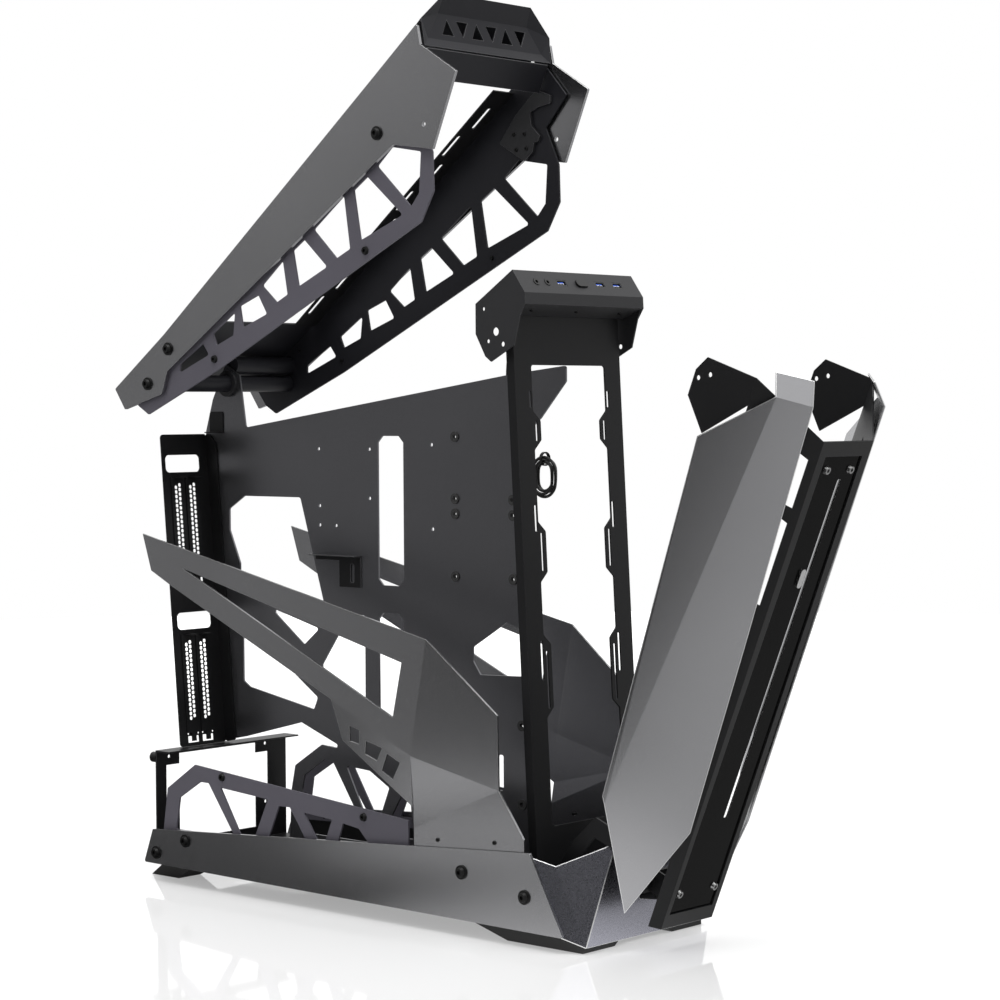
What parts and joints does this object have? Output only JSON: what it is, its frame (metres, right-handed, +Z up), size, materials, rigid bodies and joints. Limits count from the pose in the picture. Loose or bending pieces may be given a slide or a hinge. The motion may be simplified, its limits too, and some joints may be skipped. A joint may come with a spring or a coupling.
{
  "type": "computer case",
  "caption": "Full-tower open-frame computer case with a hinged top arm, a hinged front frame, side wings and an upright motherboard tray.",
  "frame": {"origin": "on the surface the case stands on, midway between the sides and midway between the front and the rear of the case as it stands open", "axes": "+Z up, front (power button, ports and nose) at -Y, +X to the right of someone who looks at the front"},
  "size_m": [0.228, 0.8664, 0.8881],
  "materials": {
    "charcoal_panel": "satin anodised dark grey sheet",
    "truss_coat": "matt purple-grey powder coat",
    "gunmetal_panel": "satin gunmetal with bright machined edges",
    "black_steel": "black powder coat",
    "screw_steel": "blackened steel",
    "black_rubber": "matt rubber",
    "port_plastic": "blue and black moulded plastic",
    "black_plastic": "matt black plastic"
  },
  "bodies": {
    "chassis": {"base_pan": "charcoal_panel", "base_vent": "black_steel", "left_skirt": "gunmetal_panel", "right_skirt": "gunmetal_panel", "skirt_bolts": "screw_steel", "front_pivot_rod": "screw_steel", "left_base_truss": "truss_coat", "right_base_truss": "truss_coat", "base_truss_bolts": "screw_steel", "left_rear_foot": "black_steel", "right_rear_foot": "black_steel", "front_foot": "black_rubber", "nose_plate": "gunmetal_panel", "psu_frame": "black_steel", "psu_thumbscrews": "black_steel", "motherboard_tray": "charcoal_panel", "tray_grommets": "black_rubber", "tray_bracket": "black_steel", "hinge_collar": "black_steel", "hinge_stop": "black_steel", "rear_slot_plate": "black_steel", "slot_cover_1": "black_steel", "slot_cover_2": "black_steel", "slot_cover_3": "black_steel", "slot_cover_4": "black_steel", "io_tower": "charcoal_panel", "io_cover": "charcoal_panel", "io_cover_screws": "screw_steel", "usb_ports": "port_plastic", "audio_jacks": "port_plastic", "io_board": "black_plastic", "button_switch": "black_plastic", "left_side_wing": "gunmetal_panel", "right_side_wing": "gunmetal_panel", "wing_screws": "screw_steel", "panel_cable": "black_plastic", "cable_coil": "black_plastic", "cable_tie": "black_plastic"},
    "top_arm": {"left_arm_plate": "gunmetal_panel", "right_arm_plate": "gunmetal_panel", "left_arm_truss": "truss_coat", "right_arm_truss": "truss_coat", "arm_screws": "screw_steel", "hinge_tube": "screw_steel", "arm_cross_tube": "black_steel", "arm_rear_panel": "black_steel", "arm_nose_panel": "charcoal_panel", "left_fan_rail": "charcoal_panel", "right_fan_rail": "charcoal_panel", "arm_cap": "gunmetal_panel", "latch_hook": "black_steel"},
    "front_frame_group": {"front_frame": "charcoal_panel", "front_inner_plate": "charcoal_panel", "front_screws": "screw_steel", "front_stud": "screw_steel", "left_front_wing": "gunmetal_panel", "right_front_wing": "gunmetal_panel", "front_wing_screws": "screw_steel", "hinge_yoke": "black_steel"},
    "power_button": {"power_button": "black_plastic"}
  },
  "joints": [
    {"name": "arm_hinge", "type": "hinge", "parent": "chassis", "child": "top_arm", "pos_m": [0, 0.3655, 0.5219], "axis": [1, 0, 0], "range_deg": [0, 22.5]},
    {"name": "front_hinge", "type": "hinge", "parent": "chassis", "child": "front_frame_group", "pos_m": [0, -0.1467, 0.047], "axis": [-1, 0, 0], "range_deg": [0, 26.7]},
    {"name": "button_travel", "type": "slide", "parent": "chassis", "child": "power_button", "axis": [0, 0.8137, -0.5812], "range_m": [0, 0.0015], "stiffness_N_per_m": 400, "springref_m": -0.0005}
  ]
}
